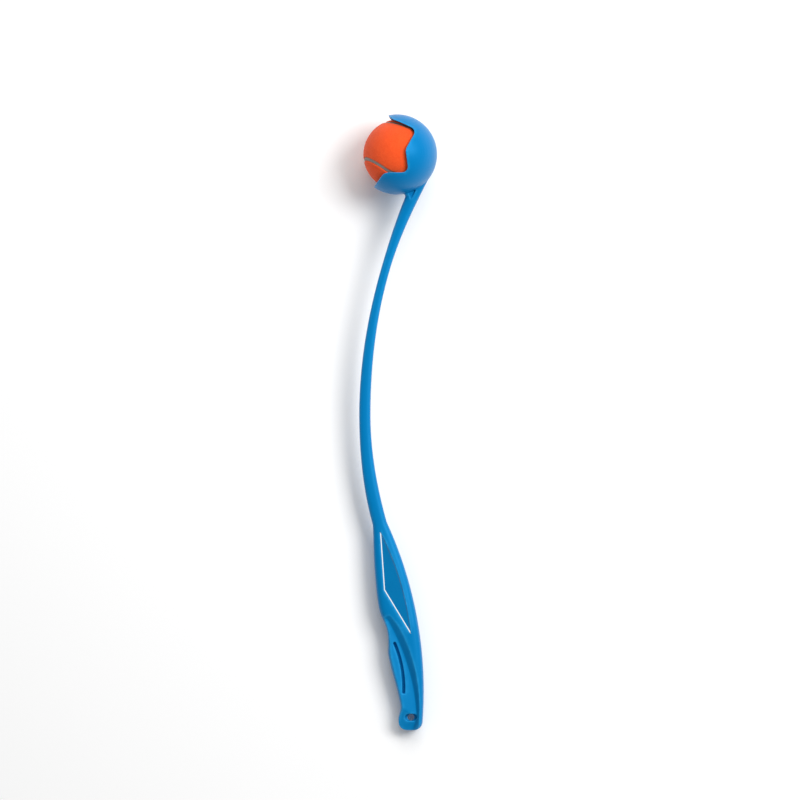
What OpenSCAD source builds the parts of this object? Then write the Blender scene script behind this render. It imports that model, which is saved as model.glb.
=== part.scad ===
// Ball launcher stick: a one-piece moulded stick with a claw cup, a bowed shaft and a finger handle,
// an inlaid label on the handle, and a felt-covered rubber ball held in the claw.
// The stick lies in the XY plane with the claw towards +Y. The origin is the centre of the hang hole.

/* [Ball] */
// Diameter over the felt
ball_d = 76; // [66:0.5:84]
// Thickness of the felt panels
felt_t = 3; // [2:0.1:4]
// Wall of the hollow rubber core
core_wall = 4.5; // [3:0.1:8]
// Film of cement between the core and the felt
cement_gap = 0.05; // [0.02:0.01:0.2]
// Width of the cement seam between the felt panels
seam_w = 3.6; // [2:0.1:5]
// How far the seam lies below the felt
seam_sink = 1; // [0.4:0.1:1.6]
// Width of a felt panel across its waist
panel_waist = 45.6; // [36:0.2:50]

/* [Claw] */
// Clearance between the ball and its seat
ball_gap = 0.3; // [0.2:0.05:0.6]
// Wall of the claw at the back of the ball
claw_back = 3.1; // [2.4:0.1:5]
// Shift of the outer sphere towards the mouth, which thickens the fingers
claw_shift = 1.8; // [1.2:0.1:2.6]
// Rise of the mouth axis above square to the stick, in degrees
mouth_rise = 11; // [5:0.5:16]
// Reach of the lower jaw past the ball's centre
jaw_reach = 15.5; // [10:0.5:18]
// Drop of the lower jaw's side edge below the ball's centre
jaw_drop = 20.4; // [16:0.2:24]
// Depth of the lower notch behind the ball's centre
hollow_back = 10.5; // [8:0.5:14]
// Where the side lobes end, behind the ball's centre
lobe_back = 7.2; // [4:0.2:10]
// Height of the side lobes' ends above the ball's centre
lobe_rise = 4; // [0:0.5:7]
// Depth of the upper notch behind the ball's centre
notch_back = 19.2; // [15:0.2:23]
// Height of the upper notch above the ball's centre
notch_rise = 25.5; // [22:0.5:29]
// Height of the upper finger's edge above the ball's centre
finger_rise = 34.4; // [32:0.2:37]
// Reach of the upper finger's tip past the ball's centre
finger_reach = 11.5; // [8:0.5:13]
// Height of the upper finger's tip above the ball's centre
finger_tip_rise = 39; // [38:0.2:42]
// Rounding of the jaw and the side lobes
jaw_round = 10; // [4:0.5:12]
// Rounding of the notches
notch_round = 6; // [3:0.5:7]

/* [Shaft] */
// Reach of the bow to the finger side of the hang hole
bow_reach = 49.6; // [40:0.2:60]
// Height of the bow's peak above the hang hole
bow_height = 325; // [300:1:360]
// Radius of the shaft above the bow's peak
upper_r = 563; // [500:1:640]
// Radius of the shaft below the bow's peak
lower_r = 436; // [400:1:500]
// Lean of the shaft where it meets the claw, in degrees
neck_lean = 27.9; // [25:0.1:30]
// Lean of the shaft where it is thinnest, in degrees
slim_lean = 16; // [12:0.5:19]
// Lean of the shaft where it meets the handle, in degrees
root_lean = 15.6; // [13:0.1:17]
// Width of the shaft at the claw
neck_w = 15; // [12:0.1:17]
// Width of the shaft where it is thinnest
slim_w = 9.6; // [8:0.1:11]
// Width of the shaft at the bow
bow_w = 12.4; // [10:0.1:15]
// Width of the shaft at the handle
root_w = 15.6; // [13:0.1:18]
// Thickness of the shaft at the claw
neck_t = 14; // [11:0.1:17]
// Thickness of the shaft where it is thinnest
slim_t = 8.6; // [7:0.1:11]
// Thickness of the shaft at the bow
bow_t = 9.6; // [8:0.1:12]
// Thickness of the shaft at the handle
root_t = 12; // [10:0.1:14]
// How far the shaft sinks below the back of the claw
neck_sink = 0.8; // [0.4:0.1:1.5]
// Radius of the fillet between the neck's finger side and the claw
neck_fillet = 2.8; // [1.5:0.1:5]
// Width of the gusset pocket where the neck meets the claw
pocket_w = 9; // [6:0.5:11]
// Length of the gusset pocket
pocket_len = 11; // [7:0.5:15]
// Lean of the gusset pocket, in degrees
pocket_lean = 5; // [0:0.5:10]
// Depth of the gusset pocket at the claw
pocket_depth = 3.2; // [2:0.1:4]

/* [Handle] */
// Full thickness of the handle
grip_t = 24; // [20:0.2:28]
// Height above the hang hole where the handle reaches its full thickness
grip_full_y = 98; // [90:1:110]
// Reach of the spine to the palm side of the hang hole
spine_reach = 13.8; // [11:0.2:17]
// Height above the hang hole where the spine runs straight
spine_y = 28; // [15:1:40]
// Height of the cheek beside the label
cheek_y = 160; // [150:1:172]
// Reach of the cheek to the finger side
cheek_reach = 39.2; // [36:0.2:43]
// Height of the shoulder above the index finger
shoulder_y = 116; // [110:1:122]
// Reach of the shoulder to the finger side
shoulder_reach = 34.2; // [31:0.2:37]
// Height of the top of the finger notch
notch_top_y = 95; // [92:1:100]
// Reach of the top of the finger notch
notch_top_reach = 26.2; // [25:0.2:28]
// Height of the finger notch
notch_y = 81; // [78:1:86]
// Reach of the finger notch
notch_reach = 24.5; // [22:0.1:26]
// Height of the pad below the finger notch
pad_y = 67; // [60:1:72]
// Reach of the pad below the finger notch
pad_reach = 24.5; // [22:0.1:27]
// Height of the waist above the heel
waist_y = 12; // [9:0.5:16]
// Reach of the waist to the finger side
waist_reach = 11.2; // [9:0.1:13]
// Height of the hooked heel
heel_y = -2; // [-4:0.5:1]
// Reach of the hooked heel to the finger side
heel_reach = 13.5; // [12:0.1:16]
// Distance from the hang hole to the end of the heel
heel_end = 14; // [12:0.2:18]
// Rounding of the heel's end
heel_round = 9; // [6:0.5:11]

/* [Label] */
// Height of the label's top corner above the hang hole
label_top_y = 199.5; // [192:0.5:203]
// Reach of the label's top corner to the finger side
label_top_reach = 33.3; // [32:0.1:35]
// Height of the label's side corner
label_side_y = 137; // [128:0.5:146]
// Reach of the label's side corner to the finger side
label_side_reach = 29; // [26:0.2:32]
// Height of the label's bottom tip
label_tip_y = 90; // [86:0.5:96]
// Reach of the label's bottom tip to the finger side
label_tip_reach = 0.5; // [-2:0.1:4]
// Bulge of the label's palm-side edge
label_bulge = 5.5; // [3:0.1:7]
// Thickness of the label
label_t = 0.8; // [0.4:0.1:1.2]
// Depth of the label's recess
recess_depth = 1.2; // [0.9:0.1:1.8]
// Clearance round the label in its recess
label_gap = 0.15; // [0.1:0.05:0.4]

/* [Palm scoop] */
// Radius of the scoop's wall along the spine, seen square to the stick
scoop_r = 182; // [165:1:200]
// Reach of the scoop's wall to the palm side of the hang hole
scoop_reach = 10; // [8:0.1:11]
// Height above the hang hole where the scoop's wall runs straight
scoop_y = 9; // [4:0.5:16]
// Height of the scoop's upper end
scoop_top_y = 112; // [106:0.5:118]
// Rounding of the scoop's upper end
scoop_round = 5; // [2:0.2:6]
// Depth of the scoop beside the spine
scoop_depth = 5; // [3:0.1:6]
// Width of the scoop's sloping wall beside the spine
scoop_wall = 4.2; // [2:0.1:6]
// Width of the scoop's sloping wall at its upper end
scoop_fall = 8; // [4:0.2:10]
// Swing of the scoop's floor towards the fingers, in degrees
scoop_swing = 15; // [12:0.5:18]
// Slope of the scoop's floor, in degrees
scoop_slope = 12; // [8:0.5:15]
// Width of the grip slot
slot_w = 3; // [2:0.1:3.6]
// Depth of the grip slot below the handle's face
slot_depth = 9; // [7:0.1:10]
// Radius of the grip slot's curve
slot_r = 125; // [110:1:140]
// Reach of the grip slot to the finger side where it runs straight
slot_reach = 7.8; // [6:0.1:9]
// Height above the hang hole where the grip slot runs straight
slot_y = 31; // [26:0.5:36]
// Height of the grip slot's lower end
slot_low_y = 27; // [22:0.5:34]
// Height of the grip slot's upper end
slot_high_y = 79.5; // [70:0.5:84]
// Height above the hang hole where the scoop's floor starts to dip towards the heel's end
dip_y = 3.5; // [2:0.1:6]
// Depth of the floor below the handle's face where it starts to dip
dip_depth = 3.9; // [3:0.1:5]
// Slope of the dipping floor, in degrees
dip_slope = 16; // [8:0.5:18]
// Diameter of the hang hole
hole_d = 7.4; // [6:0.1:9]
// Length of the oval eye round the hang hole
eye_len = 13; // [10:0.2:15]
// Depth of the oval eye below the handle's face
eye_depth = 9.5; // [8:0.1:10]

/* [Hidden] */

$fn = 64;
stick_blue = [0.01, 0.53, 0.81];
label_blue = [0.02, 0.51, 0.75];
felt_orange = [1.0, 0.33, 0.16];
seam_grey = [0.59, 0.55, 0.53];
rubber_grey = [0.22, 0.22, 0.23];

// Sides of the stick's cross-section, and stations along each stretch of it
ring_n = 32;
fillet_n = 6;
claw_n = 4;
upper_n = 22;
lower_n = 10;
handle_n = 52;
heel_n = 6;
// Steps round the ball
ball_n = 96;
// Thickness of a level that a hull runs between
level_t = 0.01;
// How square the cross-section is: 2 is an ellipse
shaft_square = 2.6;
grip_square = 3.6;
// Share of the handle over which the cross-section grows square
squaring_share = 0.33;
// How much of the heel's rounding goes into its thickness
heel_taper = 0.8;

// Ball and claw
ball_r = ball_d / 2;
core_r = ball_r - felt_t;
seat_r = ball_r + ball_gap;
claw_r = seat_r + claw_back + claw_shift;
mouth = [-cos(mouth_rise), sin(mouth_rise)];
reach_all = 4 * ball_d;

function blend(a, b, t) = a + (b - a) * t;
function ease(t) = (1 - cos(180 * t)) / 2;

// Centreline of the shaft as two arcs that meet upright at the bow's peak
bow = [-bow_reach, bow_height];
function upper_at(lean) = bow + upper_r * [1 - cos(lean), sin(lean)];
function lower_at(lean) = bow + lower_r * [1 - cos(lean), -sin(lean)];
// Unit vector from the centreline to the finger side
function upper_side(lean) = [-cos(lean), sin(lean)];
function lower_side(lean) = [-cos(lean), -sin(lean)];
function swell(lean, bow_v, slim_v, neck_v) = lean < slim_lean
    ? blend(bow_v, slim_v, ease(lean / slim_lean))
    : blend(slim_v, neck_v, ease((lean - slim_lean) / (neck_lean - slim_lean)));

// The shaft runs up the back of the claw, so its end sets the claw's place
claw_c = upper_at(neck_lean) + (claw_r - neck_w / 2 - neck_sink) * upper_side(neck_lean);
ball_c = claw_c - claw_shift * mouth;

// The neck's fillet ends on the claw's outline, which places its lower end on the shaft's finger side
function lean_below(run) = neck_lean - run / upper_r * 180 / PI;
function neck_half(lean) = swell(lean, bow_w, slim_w, neck_w) / 2 * upper_side(lean);
below_claw = lean_below(claw_r);
neck_gap = (claw_c - upper_at(below_claw) - neck_half(below_claw)) * upper_side(neck_lean);
fillet_run = neck_fillet + sqrt(claw_r^2 - (neck_gap - neck_fillet)^2);
fillet_lean = lean_below(fillet_run);
claw_lean = lean_below(fillet_run - neck_fillet);
// From there the neck's finger side runs on to the claw's centre
claw_flare = claw_r - neck_w - neck_sink;

// A station is the finger-side point, the palm-side point, half the thickness and the squareness
function upper_station(lean, flare = 0) =
    [upper_at(lean) + neck_half(lean) + flare * upper_side(lean), upper_at(lean) - neck_half(lean),
     swell(lean, bow_t, slim_t, neck_t) / 2, shaft_square];
function fillet_station(turn) =
    upper_station(lean_below(fillet_run - neck_fillet * sin(turn)), neck_fillet * (1 - cos(turn)));
function lower_station(lean) =
    let (t = ease(lean / root_lean), half = blend(bow_w, root_w, t) / 2 * lower_side(lean))
    [lower_at(lean) + half, lower_at(lean) - half, blend(bow_t, root_t, t) / 2, shaft_square];

root = lower_station(root_lean);
root_left = root[0];
root_right = root[1];

// Finger edge of the handle as a smooth curve through these corners, from the heel up
finger_edge = [
    [heel_y, -heel_reach],
    [waist_y, -waist_reach],
    [pad_y, -pad_reach],
    [notch_y, -notch_reach],
    [notch_top_y, -notch_top_reach],
    [shoulder_y, -shoulder_reach],
    [cheek_y, -cheek_reach],
    [root_left[1], root_left[0]]
];
function knot_slope(k, i) =
    let (a = k[max(i - 1, 0)], b = k[min(i + 1, len(k) - 1)])
    i == 0 ? 0 : (b[1] - a[1]) / (b[0] - a[0]);
function knot_before(k, y, i = 0) = i >= len(k) - 2 || y < k[i + 1][0] ? i : knot_before(k, y, i + 1);
function edge_at(k, y) =
    let (i = knot_before(k, y), h = k[i + 1][0] - k[i][0], t = (y - k[i][0]) / h)
    k[i][1] * (2 * t^3 - 3 * t^2 + 1) + h * knot_slope(k, i) * (t^3 - 2 * t^2 + t)
    + k[i + 1][1] * (3 * t^2 - 2 * t^3) + h * knot_slope(k, i + 1) * (t^3 - t^2);

// Palm edge of the handle: an arc from the shaft's edge to the upright spine
spine_run = spine_reach - root_right[0];
spine_rise = root_right[1] - spine_y;
spine_r = (spine_run^2 + spine_rise^2) / (2 * spine_run);
function spine_at(y) = spine_reach - spine_r + sqrt(spine_r^2 - (y - spine_y)^2);

// Face of the handle: it thickens evenly from the shaft down, then stays level
grip_top_y = (root_left[1] + root_right[1]) / 2;
function half_t(y) = y < grip_full_y ? grip_t / 2
    : blend(grip_t, root_t, (y - grip_full_y) / (grip_top_y - grip_full_y)) / 2;
face_tilt = atan((grip_t - root_t) / 2 / (grip_top_y - grip_full_y));

heel_start_y = heel_round - heel_end;
function handle_station(t) =
    let (left_y = blend(root_left[1], heel_start_y, t), right_y = blend(root_right[1], heel_start_y, t))
    [[edge_at(finger_edge, max(left_y, heel_y)), left_y], [spine_at(right_y), right_y],
     half_t((left_y + right_y) / 2), blend(shaft_square, grip_square, ease(min(1, t / squaring_share)))];
function heel_station(turn) =
    let (last = handle_station(1), y = heel_start_y - heel_round * sin(turn),
         inward = heel_round * (1 - cos(turn)))
    [[last[0][0] + inward, y], [last[1][0] - inward, y], last[2] - inward * heel_taper, grip_square];

stations = concat(
    [for (i = [0:claw_n - 1]) upper_station(blend(neck_lean, claw_lean, i / claw_n),
                                            blend(claw_flare, neck_fillet, i / claw_n))],
    [for (i = [0:fillet_n]) fillet_station(90 * (1 - i / fillet_n))],
    [for (i = [1:upper_n - 1]) upper_station(fillet_lean * (1 - i / upper_n))],
    [for (i = [0:lower_n - 1]) lower_station(root_lean * i / lower_n)],
    [for (i = [0:handle_n]) handle_station(i / handle_n)],
    [for (i = [1:heel_n]) heel_station(90 * i / heel_n)]
);

function bend(v, square) = sign(v) * pow(abs(v), 2 / square);
function ring_point(s, turn) =
    let (flat = (s[0] + s[1]) / 2 + (s[1] - s[0]) / 2 * bend(cos(turn), s[3]))
    [flat[0], flat[1], s[2] * bend(sin(turn), s[3])];

// Skins the stations into one closed solid
module loft(list) {
    count = len(list);
    points = [for (s = list) for (k = [0:ring_n - 1]) ring_point(s, (k + 0.5) * 360 / ring_n)];
    sides = [for (i = [0:count - 2]) for (k = [0:ring_n - 1])
        let (a = i * ring_n + k, b = i * ring_n + (k + 1) % ring_n)
        each [[b, a, b + ring_n], [b + ring_n, a, a + ring_n]]];
    caps = [[for (k = [0:ring_n - 1]) k], [for (k = [ring_n - 1:-1:0]) (count - 1) * ring_n + k]];
    polyhedron(points, concat(sides, caps));
}

// Outline of the claw's mouth, seen square to the stick, about the ball's centre
module mouth_outline() {
    far = 2 * ball_d;
    offset(r = -jaw_round) offset(r = jaw_round + notch_round) offset(r = -notch_round)
        polygon([
            [-jaw_reach, -jaw_drop],
            [hollow_back, -jaw_drop],
            [lobe_back, lobe_rise],
            [notch_back, notch_rise],
            [0, finger_rise],
            [-finger_reach, finger_tip_rise],
            [-finger_reach, far],
            [-far, far],
            [-far, -far * jaw_drop / jaw_reach]
        ]);
}

// Everything that is cut away to hold and release the ball
module claw_cuts() {
    translate([ball_c[0], ball_c[1], 0]) {
        sphere(seat_r);
        rotate([0, 0, 180 - mouth_rise]) rotate([0, 90, 0]) cylinder(h = reach_all, r = seat_r);
        translate([0, 0, -ball_d]) linear_extrude(2 * ball_d) mouth_outline();
    }
}

// Three-cornered pocket on the face of the neck, which deepens towards the claw and ends at its wall
module gusset_pocket() {
    tip = upper_at(fillet_lean);
    tip_z = swell(fillet_lean, bow_t, slim_t, neck_t) / 2;
    corners = [[0, 0], [pocket_w, 2 * pocket_len], [-pocket_w, 2 * pocket_len]];
    difference() {
        translate([tip[0], tip[1], tip_z])
            rotate([0, 0, -pocket_lean]) rotate([-atan(pocket_depth / pocket_len), 0, 0])
                linear_extrude(neck_t) polygon(corners);
        translate([claw_c[0], claw_c[1], 0]) sphere(claw_r);
    }
}

// Kite-shaped outline of the label, with a bowed palm-side edge, grown by a margin
module label_outline(margin) {
    top = [-label_top_reach, label_top_y];
    tip = [-label_tip_reach, label_tip_y];
    chord = tip - top;
    outward = [-chord[1], chord[0]] / norm(chord);
    bow_n = 12;
    offset(delta = margin) polygon(concat(
        [[-label_side_reach, label_side_y]],
        [for (i = [0:bow_n]) let (t = i / bow_n) tip - chord * t + outward * 4 * label_bulge * t * (1 - t)]
    ));
}

// Places flat work on the sloping face of the handle, at a depth below it
module on_face(depth) {
    translate([0, grip_full_y, grip_t / 2]) rotate([-face_tilt, 0, 0])
        translate([0, -grip_full_y, -depth]) children();
}

// Plan of the palm scoop: the spine's wall is an arc, and the finger side and the heel's end are open
module scoop_outline() {
    offset(r = scoop_round) offset(delta = -scoop_round) intersection() {
        translate([scoop_reach - scoop_r, scoop_y]) circle(scoop_r, $fn = 200);
        translate([-2 * cheek_reach, -cheek_reach]) square([4 * cheek_reach, scoop_top_y + cheek_reach]);
    }
}

// One thin level of the scoop, at a number of scoop depths below the handle's face
module scoop_level(steps) {
    translate([-steps * scoop_wall, -steps * scoop_fall, grip_t / 2 - steps * scoop_depth])
        linear_extrude(level_t) scoop_outline();
}

// Everything above a level floor that later turns place
module above_floor() {
    translate([-reach_all / 2, -reach_all / 2, 0]) cube([reach_all, reach_all, grip_t]);
}

// The scoop's walls lean outwards, and its floor slopes up towards the fingers and dips at the heel
module palm_scoop() {
    intersection() {
        hull() {
            scoop_level(2);
            scoop_level(-1);
        }
        union() {
            translate([scoop_reach - scoop_wall, scoop_y, grip_t / 2 - scoop_depth])
                rotate([0, 0, scoop_swing]) rotate([0, scoop_slope, 0]) above_floor();
            translate([0, dip_y, grip_t / 2 - dip_depth]) rotate([dip_slope, 0, 0]) above_floor();
        }
    }
}

// Curved slot in the handle's face, round at both ends
module grip_slot() {
    low = asin((slot_low_y - slot_y) / slot_r);
    high = asin((slot_high_y - slot_y) / slot_r);
    translate([-slot_reach - slot_r, slot_y, grip_t / 2 - slot_depth]) {
        rotate([0, 0, low]) rotate_extrude(angle = high - low, $fn = 200)
            translate([slot_r - slot_w / 2, 0]) square([slot_w, grip_t]);
        for (turn = [low, high])
            rotate([0, 0, turn]) translate([slot_r, 0, 0]) cylinder(h = grip_t, d = slot_w);
    }
}

// Oval eye in the face round the hang hole
module hole_eye() {
    run = (eye_len - hole_d) / 2;
    translate([0, 0, grip_t / 2 - eye_depth]) linear_extrude(grip_t) hull() {
        translate([-run, 0]) circle(d = hole_d);
        translate([run, 0]) circle(d = hole_d);
    }
}

module face_cuts() {
    gusset_pocket();
    palm_scoop();
    grip_slot();
    hole_eye();
}

module stick() {
    color(stick_blue) difference() {
        union() {
            loft(stations);
            translate([claw_c[0], claw_c[1], 0]) sphere(claw_r);
        }
        claw_cuts();
        on_face(recess_depth) linear_extrude(grip_t) label_outline(label_gap);
        face_cuts();
        mirror([0, 0, 1]) face_cuts();
        cylinder(h = reach_all, d = hole_d, center = true);
    }
}

module handle_label() {
    color(label_blue) on_face(recess_depth) linear_extrude(label_t) label_outline(0);
}

// The ball's own axes, turned so that one run of the seam shows in the mouth
seam_turn = [-139.8, 77.5, -77.7];
module in_ball() {
    $fn = ball_n;
    translate([ball_c[0], ball_c[1], 0]) rotate(seam_turn) children();
}

// The seam is four arcs, each a circle on the ball, so cones from the centre cut the felt panels
waist_half = panel_waist / 2 / ball_r;
seam_lean = (1 / sqrt(2) - waist_half) / sqrt(1 - waist_half^2);
seam_half_angle = acos(1 / sqrt(2 * (1 + seam_lean^2)));
seam_half_width = asin(seam_w / 2 / ball_r);

module lobe_cone(axis, half_angle) {
    turn = acos(axis[2] / norm(axis));
    rotate(a = turn, v = cross([0, 0, 1], axis)) cylinder(h = ball_d, r1 = 0, r2 = ball_d * tan(half_angle));
}
module lobes(side, half_angle) {
    for (s = [-1, 1])
        lobe_cone(side > 0 ? [s, -seam_lean, 0] : [0, seam_lean, s], half_angle);
}
module half_space(side) {
    translate([-ball_d, side > 0 ? 0 : -2 * ball_d, -ball_d]) cube(2 * ball_d);
}
// Hollow sphere with its poles at the waists of the felt panels
module shell(outer, inner) {
    rotate([90, 90, 0]) difference() {
        sphere(outer);
        sphere(inner);
    }
}

module core_half(side) {
    color(rubber_grey) in_ball() intersection() {
        shell(core_r, core_r - core_wall);
        half_space(side);
    }
}
module core_half_left() core_half(1);
module core_half_right() core_half(-1);

// A felt panel is its own half of the ball less the other panel's lobes, and its own lobes on the other half
module felt_panel(side) {
    color(felt_orange) in_ball() intersection() {
        shell(ball_r, core_r + cement_gap);
        union() {
            difference() {
                half_space(side);
                lobes(-side, seam_half_angle + seam_half_width);
            }
            intersection() {
                half_space(-side);
                lobes(side, seam_half_angle - seam_half_width);
            }
        }
    }
}
module felt_panel_front() felt_panel(1);
module felt_panel_back() felt_panel(-1);

// One side of the seam: the strip of shell between a wide and a slim pair of cones
module seam_half(side) {
    difference() {
        intersection() {
            shell(ball_r - seam_sink, core_r + cement_gap);
            half_space(side);
            lobes(-side, seam_half_angle + seam_half_width);
        }
        lobes(-side, seam_half_angle - seam_half_width);
    }
}
module felt_seam() {
    color(seam_grey) in_ball() {
        seam_half(1);
        seam_half(-1);
    }
}

stick();
handle_label();
core_half_left();
core_half_right();
felt_panel_front();
felt_panel_back();
felt_seam();
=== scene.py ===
"""Looks of a ball launcher stick and its felt ball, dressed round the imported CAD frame.

The stick lies in the XY plane with the claw towards +Y, and +Z faces the camera. Sizes are in
millimetres and are scaled to metres where a mesh is made. Angles are in radians unless a field
says degrees.
"""

import logging
import math
from dataclasses import dataclass
from enum import Enum

import bmesh
import bpy
from mathutils import Euler, Matrix, Vector, noise


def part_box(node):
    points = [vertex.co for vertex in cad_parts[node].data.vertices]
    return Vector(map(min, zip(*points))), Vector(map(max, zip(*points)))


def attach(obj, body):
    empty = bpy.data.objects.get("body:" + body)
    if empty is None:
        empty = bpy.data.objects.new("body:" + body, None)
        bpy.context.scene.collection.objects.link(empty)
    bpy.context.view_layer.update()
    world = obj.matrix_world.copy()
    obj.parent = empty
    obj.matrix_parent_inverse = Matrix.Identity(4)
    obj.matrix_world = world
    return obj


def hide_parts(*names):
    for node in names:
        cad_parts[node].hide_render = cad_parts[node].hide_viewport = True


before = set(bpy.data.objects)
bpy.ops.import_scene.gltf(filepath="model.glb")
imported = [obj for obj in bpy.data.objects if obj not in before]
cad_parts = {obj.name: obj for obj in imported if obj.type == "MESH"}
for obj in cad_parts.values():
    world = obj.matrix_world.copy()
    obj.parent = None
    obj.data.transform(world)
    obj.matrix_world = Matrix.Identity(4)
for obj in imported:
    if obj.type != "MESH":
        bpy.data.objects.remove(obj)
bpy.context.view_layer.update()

LOG = logging.getLogger("launcher")
MM = 0.001
Colour = tuple[float, float, float]
Flat = tuple[float, float]
Socket = bpy.types.NodeSocket
BMesh = bmesh.types.BMesh
BMVert = bmesh.types.BMVert


class Panel(Enum):
    """The two felt panels, by the sign of the half of the ball that each one mostly covers."""

    FRONT = 1
    BACK = -1


class Region(Enum):
    """What a spot on the ball belongs to."""

    FRONT = "front felt"
    BACK = "back felt"
    SEAM = "seam"


class LabelFilmAndPaintedLight(Enum):
    """Material slots of the label: the printed film, a painted highlight line and a painted shadow
    line.
    """

    GROUND = 0
    # Painted highlight and painted shadow lines along the film's edges.
    WHITE = 1
    SHADE = 2


# Mesh helpers


def finished_object(name: str, bm: BMesh, smooth: bool = True) -> bpy.types.Object:
    """Turns a bmesh in metres into a linked object that sits at the origin.

    Args:
        name: Name of the piece.
        bm: The mesh, which is freed.
        smooth: Whether its faces are shaded smooth.

    Returns:
        The new object.
    """
    mesh = bpy.data.meshes.new(name)
    for face in bm.faces:
        face.smooth = smooth
    bm.to_mesh(mesh)
    bm.free()
    piece = bpy.data.objects.new(name, mesh)
    bpy.context.scene.collection.objects.link(piece)
    return piece


def applied(piece: bpy.types.Object) -> None:
    """Replaces an object's mesh by what its modifiers make of it, and drops the modifiers.

    Args:
        piece: The object, which keeps its place and name.
    """
    graph = bpy.context.evaluated_depsgraph_get()
    made = bpy.data.meshes.new_from_object(piece.evaluated_get(graph))
    piece.modifiers.clear()
    piece.data = made


def pulled_out(bm: BMesh, keep: bool = True) -> list[BMVert]:
    """Extrudes all the faces of a mesh, without moving the new ones yet.

    Args:
        bm: The mesh, an open sheet.
        keep: Whether Blender is told to keep the old faces.

    Returns:
        The vertices of the new side.
    """
    made = bmesh.ops.extrude_face_region(bm, geom=list(bm.faces), use_keep_orig=keep)["geom"]
    return [v for v in made if isinstance(v, BMVert)]


def sliced(bm: BMesh, point: Vector, normal: Vector, snap: float) -> None:
    """Lays new edges all over a mesh where a plane crosses it.

    Args:
        bm: The mesh.
        point: A point on the plane.
        normal: The plane's normal.
        snap: How near the plane a vertex counts as on it.
    """
    bmesh.ops.bisect_plane(bm, geom=[*bm.verts, *bm.edges, *bm.faces], dist=snap,
                           plane_co=point, plane_no=normal)


# Shader helpers


def opaque(colour: Colour) -> tuple[float, float, float, float]:
    """Gives a colour with full alpha."""
    return (*colour, 1.0)


def per_metre(size: float) -> float:
    """Gives the texture scale at which a feature has a size in millimetres."""
    return 1 / (size * MM)


class NodeBench:
    """Adds and links nodes in one shader tree."""

    MIX_INPUTS = (0, 6, 7)
    MIX_OUTPUT = 2

    def __init__(self, tree: bpy.types.NodeTree) -> None:
        """Keeps the tree that the nodes go into."""
        self.tree = tree

    def add(self, kind: str, **values: object) -> bpy.types.Node:
        """Adds a node and sets its properties.

        Args:
            kind: Blender's node type.
            values: Properties of the node, by name.

        Returns:
            The node.
        """
        node = self.tree.nodes.new(kind)
        for key, value in values.items():
            setattr(node, key, value)
        return node

    def plug(self, socket: Socket, source: object) -> None:
        """Fills one input.

        Args:
            socket: The input.
            source: An output socket to link, or a plain value to set.
        """
        if isinstance(source, Socket):
            self.tree.links.new(source, socket)
        else:
            socket.default_value = source

    def feed(self, node: bpy.types.Node, **sources: object) -> bpy.types.Node:
        """Fills a node's inputs by name, given with _ for a space.

        Args:
            node: The node to fill.
            sources: An output socket to link, or a value to set, by input name.

        Returns:
            The same node.
        """
        for key, source in sources.items():
            self.plug(node.inputs[key.replace("_", " ")], source)
        return node

    def math(self, operation: str, a: object, b: object = 0.0) -> Socket:
        """Adds a Math node whose result isn't clamped.

        Args:
            operation: Blender's name of the operation.
            a: First value or socket.
            b: Second value or socket.

        Returns:
            The node's output.
        """
        node = self.add("ShaderNodeMath", operation=operation)
        for socket, source in zip(node.inputs, (a, b)):
            self.plug(socket, source)
        return node.outputs[0]

    def mix(self, share: object, a: object, b: object) -> Socket:
        """Mixes two colours.

        Args:
            share: Share of the second colour, a value or a socket.
            a: First colour or socket.
            b: Second colour or socket.

        Returns:
            The mixed colour.
        """
        node = self.add("ShaderNodeMix", data_type="RGBA")
        for index, source in zip(self.MIX_INPUTS, (share, a, b)):
            self.plug(node.inputs[index], source)
        return node.outputs[self.MIX_OUTPUT]

    def coords(self) -> Socket:
        """Gives the piece's own coordinates, in metres."""
        return self.add("ShaderNodeTexCoord").outputs["Object"]

    def cloud(self, place: Socket, scale: object, detail: float) -> bpy.types.Node:
        """Adds a noise texture that reads given coordinates."""
        return self.feed(self.add("ShaderNodeTexNoise"), Vector=place, Scale=scale, Detail=detail)

    def noise(self, scale: object, detail: float) -> Socket:
        """Adds noise on the piece's own coordinates and gives its value from 0 to 1."""
        return self.cloud(self.coords(), scale, detail).outputs["Fac"]

    def streaks(self, axis: int, width: float, length: float, curl: float) -> Socket:
        """Adds noise that is drawn out along one axis into wavy streaks.

        Args:
            axis: The axis that the streaks follow, 0 to 2.
            width: Width of a streak in millimetres.
            length: Length of a streak in millimetres.
            curl: How far the streaks wander sideways, in millimetres.

        Returns:
            A value from 0 to 1.
        """
        wander = self.cloud(self.coords(), per_metre(length), 1.0).outputs["Color"]
        bent = self.add("ShaderNodeVectorMath", operation="MULTIPLY_ADD")
        sway = (2 * curl * MM,) * 3
        for socket, source in zip(bent.inputs, (wander, sway, self.coords())):
            self.plug(socket, source)
        drawn = [per_metre(width)] * 3
        drawn[axis] = per_metre(length)
        along = self.feed(self.add("ShaderNodeMapping"), Vector=bent.outputs[0], Scale=drawn)
        return self.cloud(along.outputs[0], 1.0, 1.0).outputs["Fac"]


def new_group(
    name: str, inputs: dict[str, str], outputs: dict[str, str]
) -> tuple[bpy.types.NodeTree, NodeBench, bpy.types.Node, bpy.types.Node]:
    """Makes an empty shader node group.

    Args:
        name: Name of the group.
        inputs: Kind of each input socket, by name.
        outputs: Kind of each output socket, by name.

    Returns:
        The group, its bench, its input node and its output node.
    """
    group = bpy.data.node_groups.new(name, "ShaderNodeTree")
    for direction, sockets in (("INPUT", inputs), ("OUTPUT", outputs)):
        for label, kind in sockets.items():
            group.interface.new_socket(label, in_out=direction, socket_type=f"NodeSocket{kind}")
    bench = NodeBench(group)
    return group, bench, bench.add("NodeGroupInput"), bench.add("NodeGroupOutput")


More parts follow.
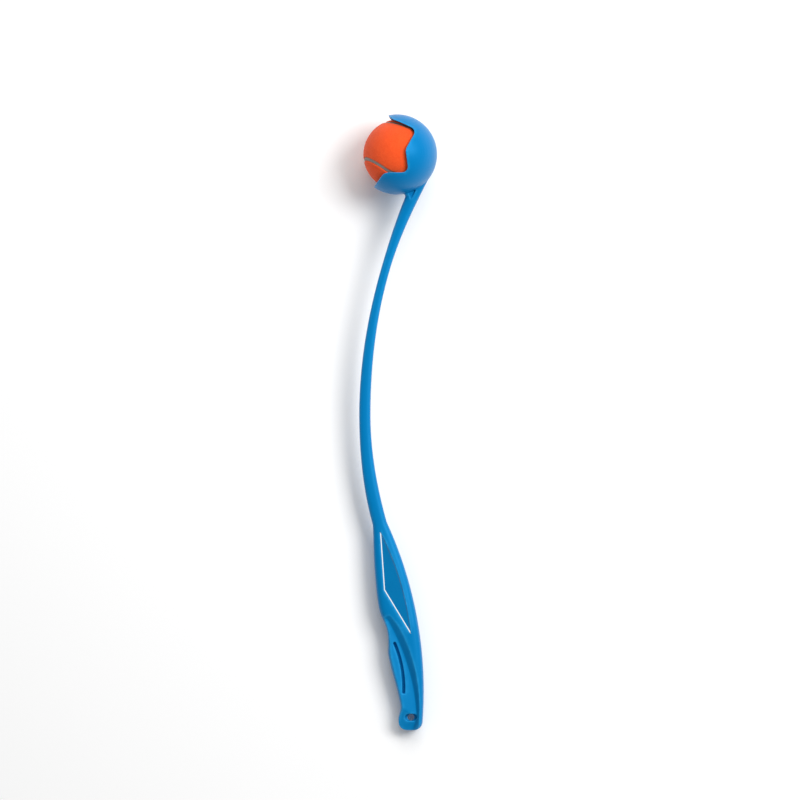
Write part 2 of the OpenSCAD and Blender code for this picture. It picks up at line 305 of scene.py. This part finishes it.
def mottle_group() -> bpy.types.NodeTree:
    """Builds the slow drift of tone and gloss that every moulded, printed or cut surface has.

    Returns:
        A group that puts out a colour and a roughness that vary over the surface.
    """
    group, bench, given, out = new_group(
        "tone_mottle",
        {"Colour": "Color", "Deep": "Color", "Scale": "Float", "Amount": "Float",
         "Roughness": "Float", "Spread": "Float"},
        {"Colour": "Color", "Roughness": "Float"},
    )
    middle = 0.5
    drift = bench.noise(given.outputs["Scale"], 2.0)
    share = bench.math("MULTIPLY", drift, given.outputs["Amount"])
    swing = bench.math("MULTIPLY", bench.math("SUBTRACT", drift, middle), given.outputs["Spread"])
    bench.feed(out, Colour=bench.mix(share, given.outputs["Colour"], given.outputs["Deep"]),
               Roughness=bench.math("ADD", given.outputs["Roughness"], swing))
    return group


def grain_group() -> bpy.types.NodeTree:
    """Builds the fine grain of a textured mould or a rubbed surface.

    Returns:
        A group that puts out a height from 0 to 1 for a Bump node, whose distance is the depth.
    """
    group, bench, given, out = new_group("surface_grain", {"Scale": "Float"}, {"Height": "Float"})
    coarse_share, fine_share, finer = 0.7, 0.3, 3.1
    coarse = bench.noise(given.outputs["Scale"], 2.0)
    fine = bench.noise(bench.math("MULTIPLY", given.outputs["Scale"], finer), 3.0)
    bench.feed(out, Height=bench.math("ADD", bench.math("MULTIPLY", coarse, coarse_share),
                                      bench.math("MULTIPLY", fine, fine_share)))
    return group


# Finishes


@dataclass(frozen=True)
class Finish:
    """A surface finish: its colours, gloss, mottle and grain.

    The colours are linear. Mottle and grain sizes are in millimetres.
    """

    name: str
    colour: Colour
    deep: Colour
    roughness: float
    mottle_size: float
    mottle: float
    grain_size: float
    grain_depth: float
    gloss_spread: float = 0.1
    specular: float = 0.4
    gloss_tint: Colour = (1.0, 1.0, 1.0)
    coat: float = 0.0
    sheen: float = 0.0

    def material(
        self, mottle: bpy.types.NodeTree, grain: bpy.types.NodeTree
    ) -> bpy.types.Material:
        """Builds the procedural material.

        Args:
            mottle: The shared tone group.
            grain: The shared grain group.

        Returns:
            The material.
        """
        made = bpy.data.materials.new(self.name)
        made.use_nodes = True
        made.node_tree.nodes.clear()
        bench = NodeBench(made.node_tree)
        tone = bench.add("ShaderNodeGroup", node_tree=mottle)
        bench.feed(tone, Colour=opaque(self.colour), Deep=opaque(self.deep),
                   Scale=per_metre(self.mottle_size), Amount=self.mottle,
                   Roughness=self.roughness, Spread=self.gloss_spread)
        rough = bench.add("ShaderNodeGroup", node_tree=grain)
        bench.feed(rough, Scale=per_metre(self.grain_size))
        bump = bench.add("ShaderNodeBump")
        bench.feed(bump, Height=self.relief(bench, rough.outputs["Height"]), Strength=1.0,
                   Distance=self.grain_depth * MM)
        shader = bench.add("ShaderNodeBsdfPrincipled")
        bench.feed(shader, Base_Color=self.tint(bench, tone.outputs["Colour"]),
                   Roughness=tone.outputs["Roughness"], Normal=bump.outputs["Normal"],
                   Specular_IOR_Level=self.specular, Specular_Tint=opaque(self.gloss_tint),
                   Coat_Weight=self.coat, Sheen_Weight=self.sheen)
        out = bench.add("ShaderNodeOutputMaterial")
        bench.feed(out, Surface=shader.outputs["BSDF"])
        return made

    def tint(self, bench: NodeBench, colour: Socket) -> Socket:
        """Leaves the mottled colour as it is; a finish with its own pattern works it in here."""
        return colour

    def relief(self, bench: NodeBench, height: Socket) -> Socket:
        """Leaves the grain's height as it is; a finish with its own relief adds it here."""
        return height


@dataclass(frozen=True)
class MouldedPlastic(Finish):
    """Satin moulded plastic, lighter on its edges where it is rubbed and where a highlight is
    painted, with the mould's parting line.

    The ridge's height is a multiple of the grain's depth.
    """

    # Lighter blue for the edges: rubbed plastic, and also a painted highlight on the crests.
    edge: Colour = (0.03, 0.38, 0.76)
    edge_wear_and_highlight: float = 0.9
    patch_size: float = 6.0
    ridge_width: float = 0.35
    ridge_height: float = 2.5

    def tint(self, bench: NodeBench, colour: Socket) -> Socket:
        """Lightens the colour in patches along the edges that the stick's attribute marks: rubbed
        edges with a painted highlight on the crests.

        Args:
            bench: The material's bench.
            colour: The mottled colour.

        Returns:
            The colour with its rubbed edges and painted highlight.
        """
        mark = bench.add("ShaderNodeAttribute", attribute_name=StickMoulding.EDGE_MARK)
        patches = bench.noise(per_metre(self.patch_size), 4.0)
        # The edge mark lightens the crests as rubbed edges and as a painted highlight.
        wear_and_highlight_share = bench.math("MULTIPLY", mark.outputs["Fac"],
                          bench.math("MULTIPLY", patches, self.edge_wear_and_highlight))
        return bench.mix(wear_and_highlight_share, colour, opaque(self.edge))

    def relief(self, bench: NodeBench, height: Socket) -> Socket:
        """Raises the parting line where the mould's halves met, on the stick's mid-plane.

        Args:
            bench: The material's bench.
            height: The grain's height.

        Returns:
            The height with the ridge on it.
        """
        axes = bench.feed(bench.add("ShaderNodeSeparateXYZ"), Vector=bench.coords())
        away = bench.math("DIVIDE", bench.math("ABSOLUTE", axes.outputs["Z"]),
                          self.ridge_width * MM)
        ridge = bench.math("MAXIMUM", bench.math("SUBTRACT", 1.0, away), 0.0)
        return bench.math("ADD", height, bench.math("MULTIPLY", ridge, self.ridge_height))


@dataclass(frozen=True)
class NappedFelt(Finish):
    """Felt whose fibres lie in all directions, with the raised ones a little lighter.

    The fibres' height is a multiple of the grain's depth.
    """

    tip: Colour = (1.0, 0.17, 0.04)
    tip_share: float = 0.55
    raised_from: float = 0.45
    raised_gain: float = 3.0
    fibre_width: float = 0.22
    fibre_length: float = 2.2
    fibre_curl: float = 1.1
    fibre_height: float = 0.8

    def fibres(self, bench: NodeBench) -> Socket:
        """Finds the topmost fibre at each spot.

        Args:
            bench: The material's bench.

        Returns:
            Its height, from 0 to 1.
        """
        runs = [bench.streaks(axis, self.fibre_width, self.fibre_length, self.fibre_curl)
                for axis in range(3)]
        return bench.math("MAXIMUM", bench.math("MAXIMUM", runs[0], runs[1]), runs[2])

    def tint(self, bench: NodeBench, colour: Socket) -> Socket:
        """Lightens the colour on the raised fibres.

        Args:
            bench: The material's bench.
            colour: The mottled colour.

        Returns:
            The felt's colour.
        """
        above = bench.math("SUBTRACT", self.fibres(bench), self.raised_from)
        raised = bench.math("MAXIMUM", bench.math("MULTIPLY", above, self.raised_gain), 0.0)
        return bench.mix(bench.math("MULTIPLY", raised, self.tip_share), colour, opaque(self.tip))

    def relief(self, bench: NodeBench, height: Socket) -> Socket:
        """Lays the fibres over the felt's own lumps."""
        fibres = bench.math("MULTIPLY", self.fibres(bench), self.fibre_height)
        return bench.math("ADD", height, fibres)


BLUE_GLOSS = (0.1, 0.55, 1.0)

STICK_BLUE = MouldedPlastic(
    "stick_blue_plastic", colour=(0.0006, 0.19, 0.47), deep=(0.0005, 0.165, 0.425),
    roughness=0.36, mottle_size=60, mottle=0.5, grain_size=0.5, grain_depth=0.04,
    gloss_tint=BLUE_GLOSS)
FILM_BLUE = Finish(
    "label_film_blue", colour=(0.0006, 0.172, 0.415), deep=(0.0005, 0.122, 0.315),
    roughness=0.3, mottle_size=14, mottle=0.6, grain_size=0.9, grain_depth=0.02,
    gloss_tint=BLUE_GLOSS, coat=0.05)
# Painted highlight: the white line along the film's finger-side edges.
FILM_PAINTED_HIGHLIGHT = Finish(
    "label_film_painted_highlight", colour=(0.86, 0.92, 0.95), deep=(0.78, 0.87, 0.92),
    roughness=0.28, mottle_size=9, mottle=0.5, grain_size=0.4, grain_depth=0.006, coat=0.3)
# Painted shadow: the dark line along the film's bowed palm-side edge, where the recess wall's
# shadow falls.
FILM_PAINTED_SHADOW = Finish(
    "label_film_painted_shadow", colour=(0.0006, 0.1, 0.27), deep=(0.0005, 0.085, 0.23),
    roughness=0.3, mottle_size=9, mottle=0.5, grain_size=0.4, grain_depth=0.006, coat=0.3)
FELT_ORANGE = NappedFelt(
    "ball_orange_felt", colour=(0.9, 0.085, 0.014), deep=(0.74, 0.045, 0.008),
    roughness=0.95, mottle_size=7, mottle=0.8, grain_size=1.1, grain_depth=0.2,
    gloss_spread=0.08, specular=0.08, sheen=0.15)
SEAM_GREY = Finish(
    "seam_grey_cement", colour=(0.33, 0.29, 0.265), deep=(0.23, 0.2, 0.185),
    roughness=0.7, mottle_size=4, mottle=0.8, grain_size=0.7, grain_depth=0.08, specular=0.3)
CORE_BLACK = Finish(
    "core_black_rubber", colour=(0.05, 0.05, 0.052), deep=(0.03, 0.03, 0.032),
    roughness=0.75, mottle_size=8, mottle=0.7, grain_size=0.8, grain_depth=0.06, specular=0.3)
FLOOR_WHITE = Finish(
    "floor_white", colour=(0.97, 0.97, 0.97), deep=(0.96, 0.96, 0.96),
    roughness=0.9, mottle_size=400, mottle=0.5, grain_size=5, grain_depth=0.05,
    gloss_spread=0.02, specular=0.1)


# Sub-assemblies


@dataclass
class StickMoulding:
    """The one-piece moulding: the CAD solid with its facets smoothed and its edges softened.

    A bend is the angle between faces: below calm_bend a surface is smoothed fully, above
    comb_bend it is a thin edge, and above crease an edge is shaded crisp.
    """

    EDGE_MARK = "edge_mark"
    label: "HandleLabel"
    weld: float = 0.001
    voxel: float = 0.4
    relax_share: float = 0.5
    edge_passes: int = 8
    calm_passes: int = 40
    calm_bend: float = 0.1
    comb_passes: int = 24
    comb_bend: float = 0.6
    # Bends and blur of the edge mark that lightens edges as rubbed plastic and as a painted
    # highlight.
    wear_highlight_bend: float = 0.05
    wear_highlight_from: float = 0.5
    wear_highlight_blur: int = 4
    crease: float = 0.6
    triangles: int = 170_000

    def build(self) -> bpy.types.Object:
        """Makes the moulding from a merged copy of the CAD solid, with a crisp label recess.

        Returns:
            The finished piece.
        """
        bm = bmesh.new()
        bm.from_mesh(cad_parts["stick"].data)
        bmesh.ops.remove_doubles(bm, verts=bm.verts, dist=self.weld * MM)
        piece = finished_object("launcher_stick", bm)
        remesh = piece.modifiers.new("even_skin", "REMESH")
        remesh.mode = "VOXEL"
        remesh.voxel_size = self.voxel * MM
        applied(piece)
        self.soften(piece)
        thin = piece.modifiers.new("fewer_faces", "DECIMATE")
        skin_triangles = 2 * len(piece.data.polygons)
        thin.ratio = self.triangles / skin_triangles
        applied(piece)
        cutter = self.label.cutter()
        recess = piece.modifiers.new("label_recess", "BOOLEAN")
        recess.operation = "DIFFERENCE"
        recess.solver = "MANIFOLD"
        recess.object = cutter
        applied(piece)
        piece.data.materials.clear()
        bpy.data.objects.remove(cutter)
        self.mark_creases(piece)
        return piece

    def soften(self, piece: bpy.types.Object) -> None:
        """Rounds the edges a little, smooths the calm faces fully, and marks the edges for the
        rubbed and painted-highlight edge colour.

        Args:
            piece: The moulding with its even skin.
        """
        bm = bmesh.new()
        bm.from_mesh(piece.data)
        for _ in range(self.edge_passes):
            self.relax(bm, list(bm.verts))
        self.comb(bm)
        bm.normal_update()
        calm = [v for v in bm.verts if self.bend(v) < self.calm_bend]
        for _ in range(self.calm_passes):
            self.relax(bm, calm)
        low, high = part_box("stick")
        for vert in bm.verts:
            vert.co = Vector(max(a, min(b, c)) for a, b, c in zip(low, high, vert.co))
        bm.normal_update()
        # Convex crests are marked to be lightened, as rubbed edges and as a painted highlight.
        layer = bm.verts.layers.float.new(self.EDGE_MARK)
        for vert in bm.verts:
            edges = vert.link_edges
            crest = sum(e.calc_face_angle_signed(0.0) for e in edges) / len(edges)
            vert[layer] = max(0.0, min(1.0, crest / self.wear_highlight_bend - self.wear_highlight_from))
        bm.to_mesh(piece.data)
        bm.free()

    def comb(self, bm: BMesh) -> None:
        """Evens out the thin edges of the claw's fingers, each along its own line.

        Args:
            bm: The moulding's skin.
        """
        bm.normal_update()
        thin = [v for v in bm.verts if self.bend(v) > self.comb_bend]
        marked = set(thin)
        lines = []
        for vert in thin:
            near = [n for n in (e.other_vert(vert) for e in vert.link_edges) if n in marked]
            if len(near) > 1:
                lines.append((vert, near))
        for _ in range(self.comb_passes):
            spots = [(v, sum((n.co for n in near), Vector()) / len(near)) for v, near in lines]
            for vert, spot in spots:
                vert.co = vert.co.lerp(spot, self.relax_share)
        around = list(dict.fromkeys(n for v in thin for f in v.link_faces for n in f.verts))
        for _ in range(self.edge_passes):
            self.relax(bm, around)
        LOG.info("thin edges: %d points combed", len(thin))

    def mark_creases(self, piece: bpy.types.Object) -> None:
        """Shades the moulding smooth except across its crisp edges, and blurs the edge marks that
        lighten the rubbed and highlighted edges.

        Args:
            piece: The moulding with its recess.
        """
        bm = bmesh.new()
        bm.from_mesh(piece.data)
        layer = bm.verts.layers.float[self.EDGE_MARK]
        for _ in range(self.wear_highlight_blur):
            means = [sum(e.other_vert(v)[layer] for e in v.link_edges) / len(v.link_edges)
                     for v in bm.verts]
            for vert, mean in zip(bm.verts, means):
                vert[layer] = (vert[layer] + mean) / 2
        for edge in bm.edges:
            edge.smooth = edge.calc_face_angle(0.0) < self.crease
        for face in bm.faces:
            face.smooth = True
        bm.to_mesh(piece.data)
        bm.free()

    def relax(self, bm: BMesh, verts: list[BMVert]) -> None:
        """Runs one smoothing pass over some of the vertices."""
        bmesh.ops.smooth_vert(bm, verts=verts, factor=self.relax_share,
                              use_axis_x=True, use_axis_y=True, use_axis_z=True)

    @staticmethod
    def bend(vert: BMVert) -> float:
        """Gives the sharpest angle between two faces at a vertex."""
        return max(e.calc_face_angle(0.0) for e in vert.link_edges)


@dataclass
class HandleLabel:
    """The printed film that is inlaid in the handle's face: a kite with a bowed palm-side edge.

    The tilt of the face is in degrees.
    """

    top: Flat = (-33.3, 199.5)
    side: Flat = (-29.0, 137.0)
    tip: Flat = (-0.5, 90.0)
    bulge: float = 5.5
    bow_steps: int = 24
    thickness: float = 0.8
    depth: float = 1.2
    face_y: float = 98.0
    face_z: float = 12.0
    face_tilt: float = 3.13
    # Widths of the painted highlight line and of the painted shadow line.
    painted_highlight_width: float = 1.1
    shade: float = 0.6
    rim: float = 0.12
    rim_bend: float = 1.0
    gap: float = 0.15
    bed: float = 0.04
    snap: float = 1e-4

    def on_face(self, depth: float) -> Matrix:
        """Places flat work at a depth below the handle's sloping face, and scales it to metres."""
        return (Matrix.Scale(MM, 4) @ Matrix.Translation((0, self.face_y, self.face_z))
                @ Matrix.Rotation(math.radians(-self.face_tilt), 4, "X")
                @ Matrix.Translation((0, -self.face_y, -depth)))

    def outline(self) -> list[Vector]:
        """Lists the kite's outline.

        Returns:
            The side corner, then the bowed edge from the tip to the top.
        """
        top, tip = Vector((*self.top, 0)), Vector((*self.tip, 0))
        chord = tip - top
        outward = Vector((-chord.y, chord.x, 0)).normalized()
        points = [Vector((*self.side, 0))]
        for step in range(self.bow_steps + 1):
            t = step / self.bow_steps
            points.append(tip - chord * t + outward * 4 * self.bulge * t * (1 - t))
        return points

    def cutter(self) -> bpy.types.Object:
        """Makes the prism that clears the recess: the outline grown by the gap, from the bed up.

        Returns:
            A helper object for a Boolean.
        """
        corners = self.outline()
        befores, afters = corners[-1:] + corners[:-1], corners[1:] + corners[:1]
        grown = []
        for before, here, after in zip(befores, corners, afters):
            runs = (here - before, after - here)
            a, b = (Vector((run.y, -run.x, 0)).normalized() for run in runs)
            grown.append(here + (a + b) / (1 + a.dot(b)) * self.gap)
        bm = bmesh.new()
        bm.faces.new([bm.verts.new(c) for c in grown])
        bmesh.ops.translate(bm, verts=pulled_out(bm), vec=(0, 0, self.face_z))
        bmesh.ops.recalc_face_normals(bm, faces=bm.faces)
        bmesh.ops.transform(bm, matrix=self.on_face(self.depth + self.bed), verts=bm.verts)
        return finished_object("recess_cutter", bm, smooth=False)

    def build(self) -> bpy.types.Object:
        """Makes the film as one closed solid, with its painted highlight and painted shadow lines
        along the edges as faces of their own.

        Returns:
            The finished piece.
        """
        bm = bmesh.new()
        face = bm.faces.new([bm.verts.new(c) for c in self.outline()])
        bmesh.ops.recalc_face_normals(bm, faces=[face])
        self.part_painted_highlight(bm)
        self.part_painted_shadow(bm)
        lifted = pulled_out(bm, keep=False)
        bmesh.ops.translate(bm, verts=lifted, vec=(0, 0, self.thickness))
        bmesh.ops.recalc_face_normals(bm, faces=bm.faces)
        middle = self.thickness / 2
        rim = [e for e in bm.edges if e.calc_face_angle(0.0) > self.rim_bend
               and all(v.co.z > middle for v in e.verts)]
        bmesh.ops.bevel(bm, geom=rim, offset=self.rim, affect="EDGES", segments=2, profile=0.5,
                        material=-1)
        bmesh.ops.transform(bm, matrix=self.on_face(self.depth), verts=bm.verts)
        return finished_object("handle_film", bm, smooth=False)

    def part_painted_highlight(self, bm: BMesh) -> None:
        """Parts off the white line along the two finger-side edges, a painted highlight of the
        recess's edge.

        Args:
            bm: The flat film.
        """
        side = Vector((*self.side, 0))
        for end in (self.top, self.tip):
            inward = self.square_to(Vector((*end, 0)) - side, 1)
            self.part(bm, side + inward * self.painted_highlight_width, inward, LabelFilmAndPaintedLight.WHITE)

    def part_painted_shadow(self, bm: BMesh) -> None:
        """Parts off the dark line along the bowed edge, one straight step at a time: a painted
        shadow of the recess's wall.

        Args:
            bm: The flat film.
        """
        bow = self.outline()[1:]
        for here, after in zip(bow, bow[1:]):
            inward = self.square_to(after - here, -1)
            self.part(bm, here + inward * self.shade, inward, LabelFilmAndPaintedLight.SHADE)

    @staticmethod
    def square_to(run: Vector, sign: int) -> Vector:
        """Turns an edge's direction square to it, to the side of +X or -X.

        Args:
            run: The edge, from end to end.
            sign: The sign that the answer's X has.

        Returns:
            A unit vector.
        """
        square = Vector((-run.y, run.x, 0)).normalized()
        return square if square.x * sign > 0 else -square

    def part(self, bm: BMesh, point: Vector, inward: Vector, film_and_painted_light: LabelFilmAndPaintedLight) -> None:
        """Cuts the film along a straight line and gives what lies outside it a painted line's
        slot.

        Args:
            bm: The flat film.
            point: A point on the line.
            inward: The direction from the edge into the film.
            film_and_painted_light: The slot of the painted line that the strip outside the line
                takes.
        """
        sliced(bm, point, inward, self.snap)
        for face in bm.faces:
            outside = (face.calc_center_median() - point).dot(inward) < 0
            if outside and face.material_index == LabelFilmAndPaintedLight.GROUND.value:
                face.material_index = film_and_painted_light.value


@dataclass
class FeltBall:
    """The felt-covered ball: two dog-bone panels over a rubber core, a cement seam between them.

    The turn is in degrees. Rows are where edges are laid, as shares of the rolled edge's width
    in from the seam, or of the bead's half width either way from its centreline.
    """

    diameter: float = 76.0
    felt: float = 3.0
    cement: float = 0.05
    seam_width: float = 3.6
    seam_sink: float = 1.0
    seam_crown: float = 0.35
    bead_rows: tuple[float, ...] = (-1.0, -0.5, 0.0, 0.5, 1.0)
    ripple: float = 0.05
    ripple_size: float = 2.2
    waist: float = 45.6
    turn: tuple[float, float, float] = (-139.8, 77.5, -77.7)
    fineness: int = 7
    snap: float = 1e-3
    weld: float = 0.05
    roll: float = 1.3
    roll_rows: tuple[float, ...] = (0.0, 0.12, 0.35, 0.7)
    nap: float = 0.14
    nap_size: float = 1.7
    lump_share: float = 0.7
    tuft_share: float = 0.5
    tuft_scale: float = 2.3

    def __post_init__(self) -> None:
        """Works out the seam's circles and finds the ball's centre from its core."""
        self.radius = self.diameter / 2
        self.seam_edge = self.seam_width / 2
        half = self.waist / 2 / self.radius
        self.lean = (1 / math.sqrt(2) - half) / math.sqrt(1 - half**2)
        self.arc = math.acos(1 / math.sqrt(2 * (1 + self.lean**2)))
        (low_a, high_a), (low_b, high_b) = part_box("core_half_left"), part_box("core_half_right")
        middle = [(min(a, b) + max(c, d)) / 2 for a, b, c, d in zip(low_a, low_b, high_a, high_b)]
        turned = Euler([math.radians(t) for t in self.turn]).to_matrix().to_4x4()
        self.place = Matrix.Scale(MM, 4) @ (Matrix.Translation(Vector(middle) / MM) @ turned)

    def lobe_axes(self, panel: Panel) -> list[Vector]:
        """Gives the axes of a panel's two lobes.

        Args:
            panel: Which panel.

        Returns:
            Two unit vectors, in the ball's own axes.
        """
        if panel is Panel.FRONT:
            return [Vector((s, -self.lean, 0)).normalized() for s in (-1, 1)]
        return [Vector((0, self.lean, s)).normalized() for s in (-1, 1)]

    def past_seam(self, spot: Vector) -> float:
        """Measures how far a spot lies past the seam's centreline.

        Args:
            spot: A point of the ball, in its own axes.

        Returns:
            The distance over the felt in millimetres, positive on the front panel.
        """
        if spot.y >= 0:
            away = min(spot.angle(a) for a in self.lobe_axes(Panel.BACK)) - self.arc
        else:
            away = self.arc - min(spot.angle(a) for a in self.lobe_axes(Panel.FRONT))
        return away * self.radius

    def region(self, spot: Vector) -> Region:
        """Tells which piece a spot belongs to.

        Args:
            spot: A point of the ball, in its own axes.

        Returns:
            One of the felts, or the seam.
        """
        past = self.past_seam(spot)
        if abs(past) < self.seam_edge:
            return Region.SEAM
        return Region.FRONT if past > 0 else Region.BACK

    def cut_sphere(self, keep: Region, offsets: list[float]) -> BMesh:
        """Cuts a fine sphere along the seam's circles and keeps one region.

        Args:
            keep: The region to keep.
            offsets: Distances from the seam's centreline at which edges are laid, in millimetres.

        Returns:
            An open patch of the sphere, in the ball's own axes.
        """
        bm = bmesh.new()
        bmesh.ops.create_icosphere(bm, subdivisions=self.fineness, radius=self.radius)
        sliced(bm, Vector(), Vector((0, 1, 0)), self.snap)
        for panel in Panel:
            for axis in self.lobe_axes(panel):
                for offset in offsets:
                    spread = self.arc + panel.value * -offset / self.radius
                    sliced(bm, axis * self.radius * math.cos(spread), axis, self.snap)
        dropped = [f for f in bm.faces if self.region(f.calc_center_median()) is not keep]
        bmesh.ops.delete(bm, geom=dropped, context="FACES")
        bmesh.ops.remove_doubles(bm, verts=bm.verts, dist=self.weld)
        idle = [v for v in bm.verts if len(v.link_edges) == 2 and not v.is_boundary]
        bmesh.ops.dissolve_verts(bm, verts=idle)
        for vert in bm.verts:
            vert.co = vert.co.normalized() * self.radius
        return bm

    def walled(self, bm: BMesh, name: str) -> bpy.types.Object:
        """Closes a patch down to the core and puts it in its place.

        Args:
            bm: The shaped patch, in the ball's own axes.
            name: Name of the piece.

        Returns:
            The finished piece.
        """
        floor = self.radius - self.felt + self.cement
        for vert in pulled_out(bm):
            vert.co = vert.co.normalized() * floor
        bmesh.ops.recalc_face_normals(bm, faces=bm.faces)
        bmesh.ops.transform(bm, matrix=self.place, verts=bm.verts)
        return finished_object(name, bm)

    def build_panel(self, panel: Panel) -> bpy.types.Object:
        """Makes one felt panel with a rolled edge and a napped face.

        Args:
            panel: Which panel to make.

        Returns:
            The finished piece.
        """
        rows = [panel.value * (self.seam_edge + self.roll * share) for share in self.roll_rows]
        bm = self.cut_sphere(Region[panel.name], rows)
        for vert in bm.verts:
            inside = max(0.0, abs(self.past_seam(vert.co)) - self.seam_edge)
            lost = 1 - min(1.0, inside / self.roll)
            drop = self.roll * (1 - math.sqrt(1 - lost**2))
            spot = vert.co / self.nap_size
            lump = noise.noise(spot) * self.lump_share
            tuft = noise.noise(spot * self.tuft_scale) * self.tuft_share
            reach = self.radius - drop + self.nap * (lump + tuft)
            vert.co = vert.co.normalized() * reach
        return self.walled(bm, f"ball_felt_{panel.name.lower()}")

    def build_seam(self) -> bpy.types.Object:
        """Makes the cement seam as one closed bead with a low crown.

        Returns:
            The finished piece.
        """
        bm = self.cut_sphere(Region.SEAM, [self.seam_edge * share for share in self.bead_rows])
        for vert in bm.verts:
            across = min(1.0, abs(self.past_seam(vert.co)) / self.seam_edge)
            crown = self.seam_crown * (1 - across**2)
            ripple = self.ripple * noise.noise(vert.co / self.ripple_size)
            vert.co = vert.co.normalized() * (self.radius - self.seam_sink + crown + ripple)
        return self.walled(bm, "ball_seam_bead")


@dataclass(frozen=True)
class SoftLight:
    """One soft square light: its place and its side in metres, and its power in watts."""

    name: str
    spot: tuple[float, float, float]
    size: float
    power: float


@dataclass
class Studio:
    """White sweep of floor, soft light and the camera square above the stick.

    The rests are the Y and Z of the two spots that the stick lies on.
    """

    centre: Flat = (-11.8, 340.8)
    frame_width: float = 860.0
    distance: float = 6000.0
    sensor: float = 36.0
    floor_size: float = 9000.0
    floor_cells: int = 4
    heel_rest: Flat = (-5.0, -12.0)
    claw_rest: Flat = (604.0, -42.0)
    lights: tuple[SoftLight, ...] = (
        SoftLight("key_softbox", (1.7, 1.3, 2.3), 1.5, 66),
        SoftLight("far_softbox", (0.5, 3.0, 2.3), 2.2, 45),
    )
    sky: float = 0.42

    def build_camera(self) -> None:
        """Sets the camera so that the picture covers the frame width at the stick's mid-plane."""
        data = bpy.data.cameras.new("front_camera")
        data.sensor_width = self.sensor
        data.lens = self.sensor * self.distance / self.frame_width
        camera = bpy.data.objects.new("front_camera", data)
        camera.location = Vector((*self.centre, self.distance)) * MM
        bpy.context.scene.collection.objects.link(camera)
        bpy.context.scene.camera = camera

    def build_floor(self) -> bpy.types.Object:
        """Lays the floor under the heel and the claw, on which the stick rests.

        Returns:
            The floor.
        """
        (heel_y, heel_z), (claw_y, claw_z) = self.heel_rest, self.claw_rest
        tilt = math.atan2(claw_z - heel_z, claw_y - heel_y)
        bm = bmesh.new()
        bmesh.ops.create_grid(bm, x_segments=self.floor_cells, y_segments=self.floor_cells,
                              size=self.floor_size / 2)
        place = Matrix.Translation((0, heel_y, heel_z)) @ Matrix.Rotation(tilt, 4, "X")
        bmesh.ops.transform(bm, matrix=Matrix.Scale(MM, 4) @ place, verts=bm.verts)
        floor = finished_object("studio_floor", bm)
        return floor

    def hang(self, light: SoftLight) -> None:
        """Hangs one light so that it faces the stick.

        Args:
            light: What to hang.
        """
        data = bpy.data.lights.new(light.name, "AREA")
        data.size = light.size
        data.energy = light.power
        lamp = bpy.data.objects.new(light.name, data)
        target = Vector((*self.centre, 0)) * MM
        lamp.location = light.spot
        lamp.rotation_euler = (Vector(light.spot) - target).to_track_quat("Z", "Y").to_euler()
        lamp.visible_camera = False
        bpy.context.scene.collection.objects.link(lamp)

    def build_light(self) -> None:
        """Lights the stick from the upper right and from beyond the claw, with a white sky."""
        for light in self.lights:
            self.hang(light)
        world = bpy.data.worlds.new("white_sky")
        world.use_nodes = True
        backdrop = world.node_tree.nodes["Background"]
        backdrop.inputs["Color"].default_value = opaque((1.0, 1.0, 1.0))
        backdrop.inputs["Strength"].default_value = self.sky
        bpy.context.scene.world = world
        bpy.context.scene.view_settings.view_transform = "Standard"


# Assembly


def dressed(piece: bpy.types.Object, *materials: bpy.types.Material) -> bpy.types.Object:
    """Gives a piece its materials, in slot order.

    Args:
        piece: The piece.
        materials: Its materials.

    Returns:
        The same piece.
    """
    for material in materials:
        piece.data.materials.append(material)
    return piece


def joined_up(piece: bpy.types.Object, body: str, node: str) -> None:
    """Makes a piece ride on a body and stand for a CAD node, and logs it.

    Args:
        piece: The finished piece.
        body: The CAD body it moves with.
        node: The CAD node it replaces.
    """
    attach(piece, body)
    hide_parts(node)
    faces = len(piece.data.polygons)
    LOG.info("%s: %d faces, rides on %s, stands for %s", piece.name, faces, body, node)


def main() -> None:
    """Builds every sub-assembly in order and reports each piece."""
    logging.basicConfig(level=logging.INFO, format="%(message)s")
    groups = (mottle_group(), grain_group())
    studio = Studio()
    studio.build_camera()
    studio.build_light()
    dressed(studio.build_floor(), FLOOR_WHITE.material(*groups))

    label = HandleLabel()
    stick = dressed(StickMoulding(label).build(), STICK_BLUE.material(*groups))
    joined_up(stick, "stick", "stick")
    # The film's own colour, then its painted highlight and painted shadow lines.
    film_and_painted_lights = (FILM_BLUE, FILM_PAINTED_HIGHLIGHT, FILM_PAINTED_SHADOW)
    film = dressed(label.build(), *(film_and_painted_light.material(*groups) for film_and_painted_light in film_and_painted_lights))
    joined_up(film, "stick", "handle_label")

    ball = FeltBall()
    felt = FELT_ORANGE.material(*groups)
    for panel in Panel:
        piece = dressed(ball.build_panel(panel), felt)
        joined_up(piece, "ball", f"felt_panel_{panel.name.lower()}")
    seam = dressed(ball.build_seam(), SEAM_GREY.material(*groups))
    joined_up(seam, "ball", "felt_seam")
    rubber = CORE_BLACK.material(*groups)
    for side in ("left", "right"):
        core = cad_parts[f"core_half_{side}"]
        core.data.materials.clear()
        dressed(core, rubber)
        LOG.info("core_half_%s: carried over from the CAD", side)


if __name__ == "__main__":
    main()
